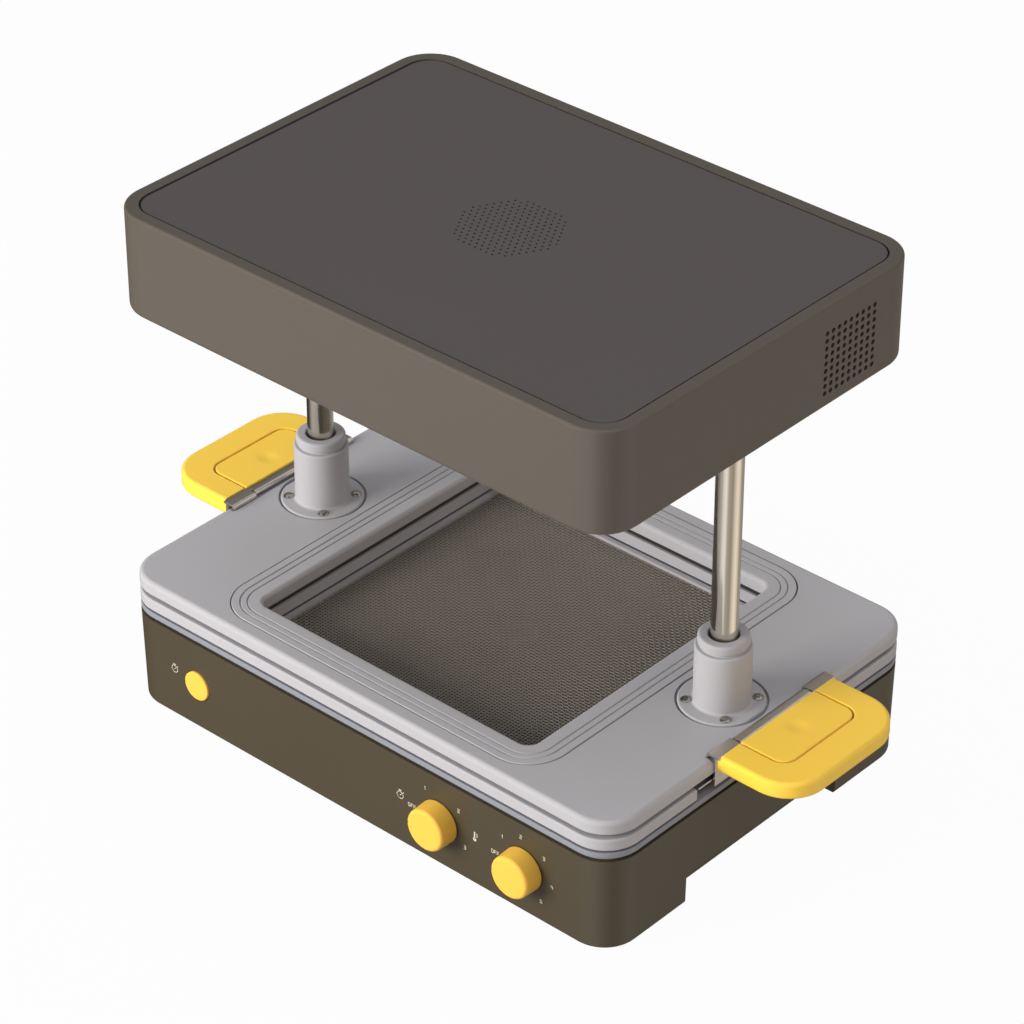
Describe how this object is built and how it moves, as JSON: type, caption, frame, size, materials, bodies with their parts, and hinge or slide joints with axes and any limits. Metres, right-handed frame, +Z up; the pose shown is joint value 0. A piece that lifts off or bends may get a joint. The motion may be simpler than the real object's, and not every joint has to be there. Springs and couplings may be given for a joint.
{
  "type": "tabletop vacuum forming machine",
  "caption": "Tabletop vacuum former: a perforated-bed base with control knobs, clamp trays that slide on posts, latched side handles and an overhead heater hood.",
  "frame": {"origin": "middle of the whole machine's footprint, on the surface that its feet stand on", "axes": "+X to the right as seen by the user in front of the controls, +Y to the rear, +Z up along the posts"},
  "size_m": [0.4654, 0.279, 0.3185],
  "materials": {
    "housing_plastic": "fine matt moulded plastic",
    "deck_paint": "satin blue-grey paint",
    "tray_paint": "satin light grey paint",
    "hood_paint": "satin warm dark grey paint",
    "panel_paint": "fine matt dark grey paint",
    "post_steel": "ground and polished",
    "bright_steel": "bright rolled sheet",
    "screw_steel": "plated",
    "plate_steel": "zinc plated",
    "dark_pan": "matt dark coating",
    "mesh_wire": "darkened woven wire",
    "yellow_plastic": "satin moulded plastic",
    "black_plastic": "matt moulded plastic",
    "bush_plastic": "self-lubricating polymer",
    "rubber": "matt rubber",
    "silicone": "soft grey silicone",
    "circuit_board": "coated board",
    "reflector_aluminium": "bright",
    "heater_ceramic": "glazed ceramic"
  },
  "bodies": {
    "base": {"base_housing": "housing_plastic", "base_deck": "deck_paint", "bottom_plate": "plate_steel", "bottom_screws": "screw_steel", "feet": "rubber", "vacuum_plenum": "dark_pan", "bed_rim": "silicone", "vacuum_mesh": "mesh_wire", "suction_duct": "black_plastic", "vacuum_port": "black_plastic", "mains_inlet": "black_plastic", "control_board": "circuit_board", "board_screws": "screw_steel", "timer_control": "black_plastic", "heater_control": "black_plastic", "control_nuts": "screw_steel", "button_switch": "black_plastic", "post_left": "post_steel", "post_right": "post_steel", "post_sockets": "plate_steel", "socket_screws": "screw_steel", "post_clamps": "plate_steel", "clamp_screws": "screw_steel", "hood_shell": "hood_paint", "hood_top_panel": "panel_paint", "hood_bottom_plate": "hood_paint", "hood_frame": "plate_steel", "hood_standoffs": "plate_steel", "hood_screws": "screw_steel", "heater_reflector": "reflector_aluminium", "heater_tubes": "heater_ceramic", "heater_holders": "heater_ceramic", "heater_terminal": "heater_ceramic"},
    "lower_tray": {"lower_tray": "tray_paint", "lower_bushes": "bush_plastic", "sheet_gasket": "silicone", "catch_plates": "bright_steel"},
    "upper_tray": {"upper_tray": "tray_paint", "upper_insert": "tray_paint", "collar_left": "tray_paint", "collar_right": "tray_paint", "collar_bushes": "bush_plastic", "collar_screws": "screw_steel", "bracket_left": "bright_steel", "bracket_right": "bright_steel", "handle_left": "yellow_plastic", "handle_right": "yellow_plastic", "handle_screws": "screw_steel", "latch_pins": "bright_steel"},
    "latch_left": {"hook_left": "bright_steel", "lever_left": "yellow_plastic"},
    "latch_right": {"hook_right": "bright_steel", "lever_right": "yellow_plastic"},
    "timer_knob": {"timer_knob": "yellow_plastic", "timer_spindle": "screw_steel"},
    "heater_knob": {"heater_knob": "yellow_plastic", "heater_spindle": "screw_steel"},
    "start_button": {"start_button": "yellow_plastic"}
  },
  "joints": [
    {"name": "tray_lift", "type": "slide", "parent": "base", "child": "lower_tray", "axis": [0, 0, 1], "range_m": [0, 0.15]},
    {"name": "tray_open", "type": "slide", "parent": "lower_tray", "child": "upper_tray", "axis": [0, 0, 1], "range_m": [0, 0.018]},
    {"name": "latch_left", "type": "hinge", "parent": "upper_tray", "child": "latch_left", "pos_m": [-0.1776, 0.0039, 0.0862], "axis": [0, 1, 0], "range_deg": [0, 80]},
    {"name": "latch_right", "type": "hinge", "parent": "upper_tray", "child": "latch_right", "pos_m": [0.1776, 0.0039, 0.0862], "axis": [0, -1, 0], "range_deg": [0, 80]},
    {"name": "timer_turn", "type": "hinge", "parent": "base", "child": "timer_knob", "pos_m": [0.06, -0.1275, 0.031], "axis": [0, 1, 0], "range_deg": [0, 205]},
    {"name": "heater_turn", "type": "hinge", "parent": "base", "child": "heater_knob", "pos_m": [0.12, -0.1275, 0.031], "axis": [0, 1, 0], "range_deg": [0, 233]},
    {"name": "button_press", "type": "slide", "parent": "base", "child": "start_button", "axis": [0, 1, 0], "range_m": [0, 0.0012], "stiffness_N_per_m": 300}
  ],
  "couplings": [
    {"joint": "latch_left", "follows": "tray_open", "rad_per_m": 77.56},
    {"joint": "latch_right", "follows": "tray_open", "rad_per_m": 77.56}
  ]
}
